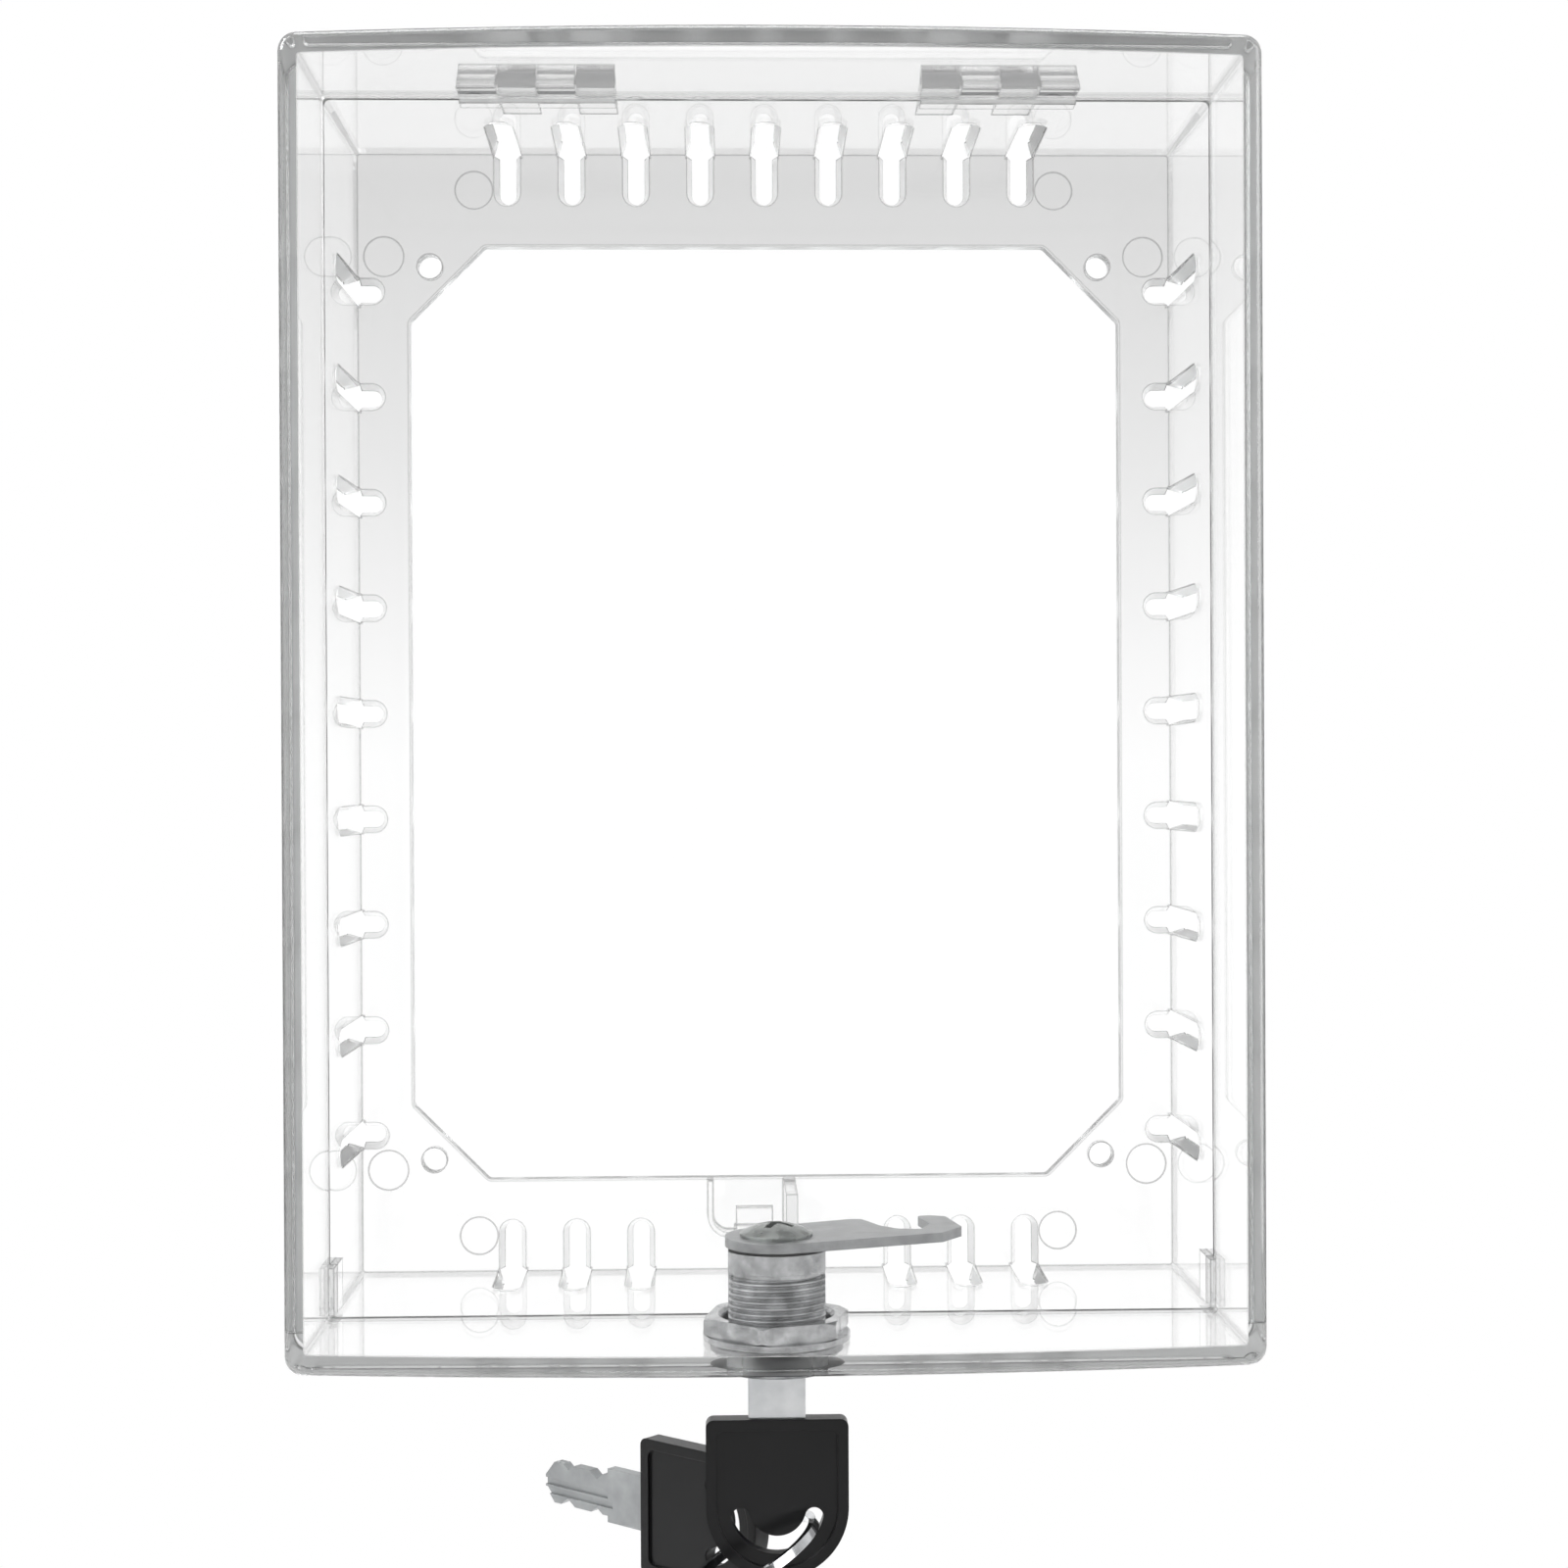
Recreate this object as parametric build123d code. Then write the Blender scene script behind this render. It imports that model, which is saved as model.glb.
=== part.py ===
from build123d import *
import math
import os

os.makedirs("parts", exist_ok=True)

# Wall-mounted lock box in clear plastic, millimetres, +Z up.
# The wall plane is y = 0, the box stands out towards -Y and the origin is
# the centre of the face that rests on the wall.

# ---- box shell
box_width = 159.0
box_height = 216.0
wall = 3.0
back_plate = 3.0
base_depth = 39.5           # wall plane to parting plane
cover_side_depth = 31.3     # parting plane to the front edge at the sides
front_bulge = 5.0           # the front panel is bowed about a vertical axis
base_draft = 1.0            # degrees, the base narrows towards the wall
corner_radius = 3.0
front_edge_radius = 1.2
rim_gap = 0.15              # between the two rims when shut
bottom_rim_gap = 1.0        # wider sight gap under the cover's bottom rim
rim_bevel = 0.3             # along the rims and round the opening
back_edge_bevel = 0.5

# ---- opening and fixings in the back plate
side_strip = 13.2           # plate left beside the opening
end_strip = 20.8            # plate left above and below the opening
opening_chamfer = 14.0
screw_inset_x = 3.8         # screw holes inside the opening's outline, in its chamfers
screw_inset_z = 3.7
screw_hole_radius = 2.25
ejector_mark_depth = 0.15
side_mark_in_x, side_mark_in_z, side_mark_radius = 8.5, 22.7, 3.7
end_mark_in_x, end_mark_in_z, end_mark_radius = 25.3, 10.3, 3.5

# ---- vents, slots that wrap the edge between back plate and walls
vent_width_inside = 4.9
vent_width_outside = 3.1
top_vent_pitch = 12.0
top_vent_count = 9
bottom_vent_places = (-4, -3, -2, 2, 3, 4)  # in pitches, the middle is left for the strike
side_vent_pitch = 19.7
side_vent_count = 9
end_vent_plate_reach = 13.25    # from the box's top or bottom, on the plate
side_vent_plate_reach = 8.6     # from the box's side, on the plate
top_vent_wall_reach = 24.3      # from the wall plane, on the top wall
bottom_vent_wall_reach = 19.0
side_vent_wall_reach = 28.0

# ---- hinges
hinge_x = 39.8
knuckle_length = 6.55
knuckle_pitch = 6.75
knuckles = 4
barrel_radius = 2.65
barrel_clearance = 0.35
hinge_pin_radius = 0.85
hinge_pin_chamfer = 0.25
hinge_pin_play = 0.08       # in the cover's knuckles
hinge_pin_fit = 0.02        # in the base's knuckles, which hold it
hinge_axis_rise = 2.8           # above the box's top face, the barrels stand on it
base_foot_reach = 11.5          # from the axis back over the base's top wall
cover_foot_reach = 6.0          # from the axis forward over the cover's top wall
foot_edge_height = 0.6
hinge_pad_thickness = 0.6       # inside the top wall, under the hinges
hinge_pad_depth = 3.4

# ---- locating tongues at the bottom of the side walls
tongue_thickness = 1.0
tongue_height = 8.2
tongue_engagement = 3.5
tongue_root = 6.5
tongue_clearance = 0.3

# ---- cam lock in the cover's bottom wall
lock_setback = 18.5             # from the parting plane to the lock's axis
flange_radius = 11.0
flange_thickness = 2.0
body_radius = 9.0
body_across_flats = 16.0
body_length = 17.9              # from the flange up to the top of the collar
collar_length = 3.2
groove_length = 0.8
groove_depth = 0.7
lock_hole_clearance = 0.15
plug_radius = 6.2
plug_play = 0.09
plug_head_radius = 7.2
plug_head_thickness = 1.2
washer_radius = 12.2
washer_thickness = 1.0
washer_bore_clearance = 0.25
nut_across_flats = 22.0
nut_thickness = 3.0
nut_bore_chamfer = 0.7
nut_bore_clearance = 0.02
nut_corner_chamfer = 0.9
nut_angle = 17.8

# ---- cam and its screw
cam_gap = 0.35                  # between the collar and the cam
cam_thickness = 1.6
cam_disc_radius = 8.5
cam_rest_angle = 16.0           # from +X towards +Y, unlocked
cam_reach = 32.0
cam_hook_length = 7.1           # from the notch to the cam's end
cam_hook_width = 9.6
cam_hook_slant = 3.6
cam_notch_width = 3.7
cam_shoulder_length = 2.8       # from the shoulder to the notch
cam_corner_round = 0.7
cam_hole_clearance = 0.05
tail_square = 7.0
screw_head_radius = 6.05
screw_head_height = 2.2
screw_rim_height = 0.5
screw_shank_radius = 2.0
screw_length = 4.4
screw_hole_relief = 0.3         # hole deeper than the screw's end
screw_recess_width = 1.3
screw_recess_length = 6.4
screw_recess_depth = 1.2

# ---- strike on the back plate, which the cam hooks behind
strike_left = -11.5
strike_bar_left = -6.5
strike_bar_right = 0.0
strike_right = 4.8
strike_rim = 1.0                # wall of the low rim on the plate
strike_rim_height = 4.0
strike_web = 2.2
strike_shelf = 2.0
strike_rise = 10.2              # of its underside above the box's bottom
strike_overlap = 0.95           # of the bar above the cam
strike_corner_radius = 4.0
strike_bar_thickness = 2.5
strike_bar_gap = 0.6            # between the bar and the cam's hook

# ---- wafers in the plug
wafer_count = 5
wafer_pitch = 2.6
wafer_first = 4.0               # from the plug's face to the first wafer
wafer_thickness = 1.0
wafer_width = 8.2
wafer_clearance = 0.1
wafer_lug_height = 0.9
wafer_lug_length = 1.0
spring_strip = 0.22
spring_reach = 4.2
spring_legs = 4

# ---- keys
key_thickness = 2.0
blade_width = 7.3
blade_length = 15.5
neck_width = 9.5
neck_length = 8.7
keyway_clearance = 0.12
tang_width = 6.0
tang_length = 7.0
blade_tip_chamfer = 2.2
blade_cut_places = (5.6, 12.8)  # from the tip
blade_cut_depths_left = (1.25, 1.0)
blade_cut_depths_right = (0.95, 1.25)
groove_width_key = 1.2
groove_depth_key = 0.45
groove_offsets = (0.0, -1.6, 1.5)
groove_sides = (-1, -1, 1)      # two on the face towards the viewer, one behind
groove_run_outs = (0.0, 1.2, 0.6)   # how far each runs on into the neck
bow_width = 23.7
bow_shoulder = 14.6             # straight part, above the half round end
bow_thickness = 3.5
bow_corner_radius = 1.3
bow_rim = 1.8
bow_panel_depth = 0.5
slot_inner_radius = 4.8
slot_outer_radius = 7.85
slot_half_angle = 75.0

# ---- split ring and the spare key on it
ring_outer_radius = 12.4
ring_strand_width = 1.2
ring_strand_height = 0.75
ring_step_angle = 30.0
ring_slot_angle = 68.0          # place in the first key's slot, from the end
spare_slot_angle = -46.0        # place in the spare key's slot
spare_turn = 41.7               # the spare key turned about the vertical
spare_offset = (-11.3, 11.9, -5.6)  # bow centre of the spare from the first's

# ---- derived places
half_w = box_width / 2
half_h = box_height / 2
opening_width = box_width - 2 * side_strip
opening_height = box_height - 2 * end_strip
parting_y = -base_depth
lock_y = parting_y - lock_setback
front_edge_y = parting_y - cover_side_depth
front_y = front_edge_y - front_bulge
front_axis_radius = (half_w ** 2 + front_bulge ** 2) / (2 * front_bulge)
front_axis_y = front_y + front_axis_radius
draft_run = math.tan(math.radians(base_draft))
hinge_z = half_h + hinge_axis_rise
floor_z = -half_h
flange_z = floor_z - flange_thickness
collar_top_z = floor_z + body_length
cam_z = collar_top_z + cam_gap
strike_bottom_z = floor_z + strike_rise
strike_top_z = cam_z + cam_thickness + strike_overlap
bow_radius = bow_width / 2
bow_top_z = flange_z - neck_length
bow_centre_z = bow_top_z - bow_shoulder
slot_radius = (slot_inner_radius + slot_outer_radius) / 2
slot_width = slot_outer_radius - slot_inner_radius
cam_neck_end = cam_reach - cam_hook_length
cam_neck_start = cam_neck_end - cam_notch_width
cam_shoulder_x = cam_neck_start - cam_shoulder_length
cam_tip_radius = math.hypot(cam_reach, cam_hook_width)
blade_slot_width = blade_width + 2 * keyway_clearance
blade_slot_thickness = key_thickness + 2 * keyway_clearance


def facing(y):
    """Plane facing the viewer at depth y, its own axes along X and Z."""
    return Plane(origin=(0, y, 0), x_dir=(1, 0, 0), z_dir=(0, -1, 0))


def level(x, y, z):
    """Horizontal plane at a point, its own axes along X and Y."""
    return Plane(origin=(x, y, z), x_dir=(1, 0, 0), z_dir=(0, 0, 1))


def block(x0, x1, y0, y1, z0, z1):
    """Box between two corners."""
    size = (abs(x1 - x0), abs(y1 - y0), abs(z1 - z0))
    middle = ((x0 + x1) / 2, (y0 + y1) / 2, (z0 + z1) / 2)
    return Pos(*middle) * Box(*size)


def rod_x(x0, x1, y, z, radius):
    """Round bar along X."""
    at = Plane(origin=(x0, y, z), x_dir=(0, 1, 0), z_dir=(1, 0, 0))
    return extrude(at * Circle(radius), x1 - x0)


def disc(x, y, z0, z1, radius):
    """Round bar along Z."""
    return extrude(level(x, y, z0) * Circle(radius), z1 - z0)


def at_corners(x, z):
    """The four places at plus and minus x and z."""
    return [(sx * x, sz * z) for sx in (-1, 1) for sz in (-1, 1)]


def one(shape):
    """The single solid in a result."""
    solids = shape.solids()
    assert len(solids) == 1, len(solids)
    return solids[0]


# ---------------------------------------------------------------- vents
def vent_taper():
    """Half angle by which a vent narrows through the wall."""
    return math.degrees(math.atan((vent_width_inside - vent_width_outside) / 2 / wall))


def plate_vent(inner, along):
    """Tapered slot through the back plate, from `inner` out past the edge."""
    grow = wall * 4
    length = grow + vent_width_inside
    slot = Pos(inner + length / 2, 0) * SlotOverall(length, vent_width_inside)
    turned = Rot(0, 0, along) * slot
    return extrude(facing(-back_plate) * turned, -back_plate, taper=vent_taper())


def wall_vent(surface, along, reach):
    """Tapered slot through a wall, from `reach` in front to past the plate."""
    skin = wall + base_depth * draft_run + 0.2
    start = surface - skin
    width = vent_width_outside + 2 * skin * math.tan(math.radians(vent_taper()))
    length = reach + wall * 4
    slot = Pos(wall * 4 - length / 2, 0) * SlotOverall(length, width)
    out = Vector(1, 0, 0).rotate(Axis.Y, -along)
    plane = Plane(origin=out * start, x_dir=(0, 1, 0), z_dir=out)
    return extrude(plane * slot, skin + 0.2, taper=vent_taper())


def vent(side, place):
    """One vent that wraps the edge; side is right, left, top or bottom."""
    edge, along, plate_reach, reach, shift = {
        "right": (half_w, 0, side_vent_plate_reach, side_vent_wall_reach, (0, 0, place)),
        "left": (half_w, 180, side_vent_plate_reach, side_vent_wall_reach, (0, 0, place)),
        "top": (half_h, 90, end_vent_plate_reach, top_vent_wall_reach, (place, 0, 0)),
        "bottom": (half_h, 270, end_vent_plate_reach, bottom_vent_wall_reach, (place, 0, 0)),
    }[side]
    cut = plate_vent(edge - plate_reach, along) + wall_vent(edge, along, reach)
    return Pos(*shift) * cut


def row(count, pitch):
    """Centred row of places."""
    return [(i - (count - 1) / 2) * pitch for i in range(count)]


def all_vents():
    """Every vent of the base."""
    cuts = [vent("top", x) for x in row(top_vent_count, top_vent_pitch)]
    cuts += [vent("bottom", place * top_vent_pitch) for place in bottom_vent_places]
    for z in row(side_vent_count, side_vent_pitch):
        cuts += [vent("left", z), vent("right", z)]
    return cuts


# ---------------------------------------------------------------- hinges
def knuckle_span(hinge_sign, number):
    """Start and end in X of a knuckle; number 0 is the outermost."""
    outer = hinge_x + knuckles * knuckle_pitch / 2
    middle = outer - (number + 0.5) * knuckle_pitch
    a = hinge_sign * (middle - knuckle_length / 2)
    b = hinge_sign * (middle + knuckle_length / 2)
    return min(a, b), max(a, b)


def barrel(span, direction, reach):
    """Knuckle barrel with a foot that slopes down to the wall it stands on."""
    round_part = rod_x(span[0], span[1], parting_y, hinge_z, barrel_radius)
    top = half_h + foot_edge_height
    root = half_h - wall / 2
    far = parting_y + direction * reach
    near = parting_y + direction * rim_gap
    side = [(near, root), (near, hinge_z), (parting_y + direction * barrel_radius * 0.6, hinge_z + barrel_radius * 0.6),
            (far, top), (far, root)]
    profile = Plane(origin=(span[0], 0, 0), x_dir=(0, 1, 0), z_dir=(1, 0, 0)) * make_face(Polyline(*side, close=True))
    return round_part + extrude(profile, span[1] - span[0])


def notch(span):
    """Room in one half's wall for a knuckle of the other half."""
    room = barrel_radius + barrel_clearance
    return rod_x(span[0] - barrel_clearance, span[1] + barrel_clearance, parting_y, hinge_z, room)


def add_knuckles(shell, own, other, direction, reach, bore):
    """Knuckles of one half, relief for the other half's and the pin's bore."""
    for sign in (-1, 1):
        for number in other:
            shell -= notch(knuckle_span(sign, number))
        for number in own:
            span = knuckle_span(sign, number)
            shell += barrel(span, direction, reach)
        half = knuckles * knuckle_pitch / 2
        shell -= rod_x(sign * hinge_x - half, sign * hinge_x + half, parting_y, hinge_z, bore)
    return shell


def hinge_pin(sign):
    """Plain pin with rounded ends, held in the base's knuckles."""
    half = knuckles * knuckle_pitch / 2
    pin = rod_x(sign * hinge_x - half, sign * hinge_x + half, parting_y, hinge_z, hinge_pin_radius)
    ends = pin.edges().filter_by(GeomType.CIRCLE)
    return chamfer(ends, hinge_pin_chamfer)


# ---------------------------------------------------------------- base
def hinge_pads():
    """Thickened patches under the hinges, inside the base's top wall."""
    pads = []
    half = knuckles * knuckle_pitch / 2
    z = half_h - wall
    for sign in (-1, 1):
        x0, x1 = sign * hinge_x - half, sign * hinge_x + half
        pads.append(block(x0, x1, parting_y, parting_y + hinge_pad_depth, z - hinge_pad_thickness, z + wall / 2))
    return pads


def tongues():
    """Two tongues that guide the cover's side walls as it closes."""
    made = []
    for sign in (-1, 1):
        outer = half_w - wall - tongue_clearance
        inner = outer - tongue_thickness
        low = -half_h + wall + 1.0
        blade = block(sign * inner, sign * outer, parting_y - tongue_engagement,
                      parting_y + tongue_root, low, low + tongue_height)
        root = block(sign * inner, sign * (half_w - wall / 2), parting_y,
                     parting_y + tongue_root, low, low + tongue_height)
        made += [blade, root]
    return made


def strike():
    """Low rim on the plate, and the shelf with the bar that the cam's hook catches."""
    bar_back = lock_y + cam_neck_end - strike_bar_gap
    bar_front = bar_back - strike_bar_thickness
    width = strike_right - strike_left
    height = strike_top_z - strike_bottom_z
    outer = Pos((strike_left + strike_right) / 2, strike_bottom_z + height / 2) * Rectangle(width, height)
    inner = Pos(strike_left + strike_rim + width / 2, strike_bottom_z + strike_rim + height / 2)
    hollow = inner * Rectangle(width, height)
    corner = outer.vertices().sort_by(lambda v: v.X + v.Y)[0]
    outer = fillet(corner, strike_corner_radius)
    corner = hollow.vertices().sort_by(lambda v: v.X + v.Y)[0]
    hollow = fillet(corner, strike_corner_radius - strike_rim)
    rim = extrude(facing(-back_plate) * (outer - hollow), strike_rim_height)
    shelf_z = strike_bottom_z + strike_shelf
    shelf = block(strike_bar_left, strike_right, bar_front, -back_plate, strike_bottom_z, shelf_z)
    bar = block(strike_bar_left, strike_bar_right, bar_front, bar_back, strike_bottom_z, strike_top_z)
    web_front = lock_y + cam_tip_radius + 3 * strike_bar_gap
    web = block(strike_right - strike_web, strike_right, web_front, -back_plate, strike_bottom_z, strike_top_z)
    return rim + shelf + bar + web


def back_housing():
    """Base: back plate with its opening, four walls, vents, strike, knuckles."""
    narrow = 2 * base_depth * draft_run
    outline = RectangleRounded(box_width - narrow, box_height - narrow, corner_radius)
    shell = extrude(facing(0) * outline, base_depth, taper=-base_draft)
    depth = base_depth - back_plate
    narrow = 2 * depth * draft_run + 2 * wall
    inside = RectangleRounded(box_width - narrow, box_height - narrow, wall / 5)
    shell = chamfer(shell.faces().sort_by(Axis.Y)[-1].edges(), back_edge_bevel)
    shell -= extrude(facing(-back_plate) * inside, depth, taper=-base_draft)
    shell = chamfer(shell.faces().sort_by(Axis.Y)[0].edges(), rim_bevel)
    window = Rectangle(opening_width, opening_height)
    window = chamfer(window.vertices(), opening_chamfer)
    shell -= extrude(facing(0) * window, back_plate)
    lips = shell.edges().filter_by(lambda e: abs(e.center().X) < half_w - side_strip / 2
                                   and abs(e.center().Z) < half_h - end_strip / 2)
    shell = chamfer(lips, rim_bevel)
    for pad in hinge_pads():
        shell += pad
    for tongue in tongues():
        shell += tongue
    shell += strike()
    for x, z in at_corners(opening_width / 2 - screw_inset_x, opening_height / 2 - screw_inset_z):
        shell -= extrude(facing(0) * Pos(x, z) * Circle(screw_hole_radius), back_plate)
    mark = facing(-back_plate + ejector_mark_depth)
    for x, z in at_corners(half_w - side_mark_in_x, half_h - side_mark_in_z):
        shell -= extrude(mark * Pos(x, z) * Circle(side_mark_radius), ejector_mark_depth)
    for x, z in at_corners(half_w - end_mark_in_x, half_h - end_mark_in_z):
        shell -= extrude(mark * Pos(x, z) * Circle(end_mark_radius), ejector_mark_depth)
    shell = add_knuckles(shell, (1, 3), (0, 2), 1, base_foot_reach, hinge_pin_radius + hinge_pin_fit)
    return one(shell - all_vents())


# ---------------------------------------------------------------- cover
def bowed(width, height, radius, bow_radius_y):
    """Block from the parting plane to the bowed front."""
    outline = RectangleRounded(width, height, radius)
    prism = extrude(facing(parting_y - rim_gap) * outline, parting_y - front_y + 1)
    drum = extrude(level(0, front_axis_y, -box_height) * Circle(bow_radius_y), 2 * box_height)
    return prism & drum


def lock_hole():
    """Round hole with two flats, so that the lock can't turn."""
    across = body_across_flats + 2 * lock_hole_clearance
    hole = disc(0, lock_y, floor_z, floor_z + wall, body_radius + lock_hole_clearance)
    return hole & block(-across / 2, across / 2, lock_y - box_width, lock_y + box_width, floor_z, floor_z + wall)


def front_cover():
    """Cover: bowed front, four walls, knuckles and the lock's hole."""
    outer = bowed(box_width, box_height, corner_radius, front_axis_radius)
    front_face = outer.faces().sort_by(Axis.Y)[0]
    outer = fillet(front_face.edges(), front_edge_radius)
    inner = bowed(box_width - 2 * wall, box_height - 2 * wall, wall / 5, front_axis_radius - wall)
    shell = outer - inner
    shell = chamfer(shell.faces().sort_by(Axis.Y)[-1].edges(), rim_bevel)
    shell -= block(-half_w, half_w, parting_y, parting_y - bottom_rim_gap, -half_h, -half_h + wall)
    shell -= lock_hole()
    shell = add_knuckles(shell, (0, 2), (1, 3), -1, cover_foot_reach, hinge_pin_radius + hinge_pin_play)
    return one(shell)


# ---------------------------------------------------------------- lock
def flats(radius, across, z0, z1):
    """Round bar with two flats, left and right."""
    trim = block(-across / 2, across / 2, lock_y - radius, lock_y + radius, z0, z1)
    return disc(0, lock_y, z0, z1, radius) & trim


def lock_body():
    """Flanged body with a bore, two side grooves for the wafers and a collar."""
    body = disc(0, lock_y, flange_z, floor_z, flange_radius)
    rim = body.edges().filter_by(GeomType.CIRCLE).sort_by(Axis.Z)[0]
    body = chamfer(rim, flange_thickness * 0.4)
    body += flats(body_radius, body_across_flats, floor_z, collar_top_z)
    groove_z = collar_top_z - collar_length - groove_length
    ring = disc(0, lock_y, groove_z, groove_z + groove_length, body_radius + 1)
    body -= ring - disc(0, lock_y, groove_z, groove_z + groove_length, body_radius - groove_depth)
    body -= disc(0, lock_y, flange_z, collar_top_z, plug_radius + plug_play)
    recess_top = flange_z + plug_head_thickness + plug_play
    body -= disc(0, lock_y, flange_z, recess_top, plug_head_radius + plug_play)
    reach = plug_radius + 1.2
    first = flange_z + wafer_first - wafer_thickness
    last = first + wafer_count * wafer_pitch
    half = wafer_width / 2 + wafer_clearance
    body -= block(-reach, reach, lock_y - half, lock_y + half, first, last)
    return one(body)


def wafer_z(number):
    """Underside of a wafer; number 0 is nearest the plug's face."""
    return flange_z + wafer_first + number * wafer_pitch


def lug_span():
    """Ends in X of the wafer's spring lug."""
    return -spring_reach / 2 - wafer_lug_length, -spring_reach / 2


def wafer_slot(number):
    """Cross slot in the plug for one wafer and its spring."""
    z0 = wafer_z(number) - wafer_clearance
    z1 = wafer_z(number) + wafer_thickness + wafer_clearance
    half = wafer_width / 2 + wafer_clearance
    slot = block(-plug_radius, plug_radius, lock_y - half, lock_y + half, z0, z1)
    top = lock_y + wafer_width / 2 + wafer_lug_height + wafer_clearance
    left = lug_span()[0] - 3 * wafer_clearance
    return slot + block(left, spring_reach / 2, lock_y, top, z0, z1)


def lock_plug():
    """Turning plug: head, keyway, wafer slots and the cam's square tail."""
    shoulder_z = collar_top_z
    plug = disc(0, lock_y, flange_z, shoulder_z, plug_radius)
    plug += disc(0, lock_y, flange_z, flange_z + plug_head_thickness, plug_head_radius)
    tail_top = cam_z + cam_thickness - cam_hole_clearance
    half = tail_square / 2
    plug += block(-half, half, lock_y - half, lock_y + half, shoulder_z, tail_top)
    for number in range(wafer_count):
        plug -= wafer_slot(number)
    x, y = blade_slot_width / 2, blade_slot_thickness / 2
    plug -= block(-x, x, lock_y - y, lock_y + y, flange_z, flange_z + blade_length + 1.0)
    hole_end = cam_z + cam_thickness - screw_length - screw_hole_relief
    plug -= disc(0, lock_y, hole_end, tail_top, screw_shank_radius)
    return one(plug)


def wafer(number):
    """Stamped wafer: round ends, a window round the blade and a spring lug."""
    z = wafer_z(number)
    plate = disc(0, lock_y, z, z + wafer_thickness, plug_radius - wafer_clearance)
    half = wafer_width / 2
    plate &= block(-plug_radius, plug_radius, lock_y - half, lock_y + half, z, z + wafer_thickness)
    x, y = blade_slot_width / 2 + wafer_clearance, blade_slot_thickness / 2 + wafer_clearance
    window = extrude(level(0, lock_y, z) * RectangleRounded(2 * x, 2 * y, y / 3), wafer_thickness)
    plate -= window
    left, right = lug_span()
    plate += block(left, right, lock_y + half - 0.5, lock_y + half + wafer_lug_height, z, z + wafer_thickness)
    return one(plate)


def wafer_spring(number):
    """Zigzag leaf spring between the wafer's lug and the end of its pocket."""
    low = lock_y + wafer_width / 2 + wafer_clearance + spring_strip
    high = low + wafer_lug_height - 2 * spring_strip - wafer_clearance
    left = -spring_reach / 2 + spring_strip
    step = (spring_reach - 2 * spring_strip) / spring_legs
    points = [(left + i * step, low if i % 2 else high) for i in range(spring_legs + 1)]
    strip = trace(Polyline(*points), spring_strip)
    z = wafer_z(number) + wafer_clearance
    leaf = extrude(level(0, 0, z) * strip, wafer_thickness - 2 * wafer_clearance)
    return one(leaf)


def lock_washer():
    """Flat washer under the nut."""
    z = floor_z + wall
    ring = disc(0, lock_y, z, z + washer_thickness, washer_radius)
    ring -= disc(0, lock_y, z, z + washer_thickness, body_radius + washer_bore_clearance)
    return one(ring)


def lock_nut():
    """Thin hexagon nut with rounded-off corners and a countersunk bore."""
    z = floor_z + wall + washer_thickness
    corner = nut_across_flats / math.sqrt(3)
    hexagon = level(0, lock_y, z) * Rot(0, 0, nut_angle) * RegularPolygon(corner, 6)
    nut = extrude(hexagon, nut_thickness)
    drum = disc(0, lock_y, z, z + nut_thickness, corner)
    drum = chamfer(drum.edges().filter_by(GeomType.CIRCLE), nut_corner_chamfer / 2, nut_corner_chamfer)
    nut &= drum
    bore = body_radius + nut_bore_clearance
    nut -= disc(0, lock_y, z, z + nut_thickness, bore)
    sink = Cone(bore, bore + nut_bore_chamfer, nut_bore_chamfer)
    nut -= Pos(0, lock_y, z + nut_thickness - nut_bore_chamfer / 2) * sink
    return one(nut)


# ---------------------------------------------------------------- cam
def cam_outline():
    """Plan of the cam with its arm along +X and its hook on the +Y side."""
    r = cam_disc_radius
    hook = [
        (0, -r), (cam_reach - 5, -r + 1.8), (cam_reach, -2.6), (cam_reach + 1, cam_hook_width - 1.8),
        (cam_reach - 1.2, cam_hook_width), (cam_neck_end + cam_hook_slant, cam_hook_width), (cam_neck_end + 2.9, 1.7),
        (cam_neck_end, -2.3), (cam_neck_start, -0.8), (cam_shoulder_x + 0.9, 3.0),
        (cam_shoulder_x, r + 1.6), (cam_shoulder_x - 2, r + 2.0), (0, r),
    ]
    arm = make_face(Polyline(*hook, close=True))
    rounded = arm.vertices().filter_by(lambda v: v.X > cam_shoulder_x - 3)
    arm = fillet(rounded, cam_corner_round)
    return arm + Circle(r)


def cam():
    """Stamped hook cam on the plug's square tail."""
    turned = Rot(0, 0, cam_rest_angle) * cam_outline()
    plate = extrude(level(0, lock_y, cam_z) * turned, cam_thickness)
    side = tail_square + 2 * cam_hole_clearance
    plate -= extrude(level(0, lock_y, cam_z) * Rectangle(side, side), cam_thickness)
    return one(plate)


def cam_screw():
    """Domed screw with a cross recess that clamps the cam to the plug."""
    z = cam_z + cam_thickness
    edge = (screw_head_radius, z + screw_rim_height)
    crown = (0, z + screw_head_height)
    side = Polyline(crown, (0, z), (screw_head_radius, z), edge)
    dome = TangentArc(crown, edge, tangent=(1, 0))
    half = Plane.XZ * make_face(side + dome)
    head = Pos(0, lock_y, 0) * revolve(half, Axis.Z)
    top = z + screw_head_height
    long, thin = screw_recess_length / 2, screw_recess_width / 2
    cross = block(-long, long, lock_y - thin, lock_y + thin, top - screw_recess_depth, top)
    cross += block(-thin, thin, lock_y - long, lock_y + long, top - screw_recess_depth, top)
    head -= Pos(0, lock_y, 0) * Rot(0, 0, cam_rest_angle + 45) * Pos(0, -lock_y, 0) * cross
    shank = disc(0, lock_y, z - screw_length, z, screw_shank_radius)
    return one(head + shank)


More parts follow.
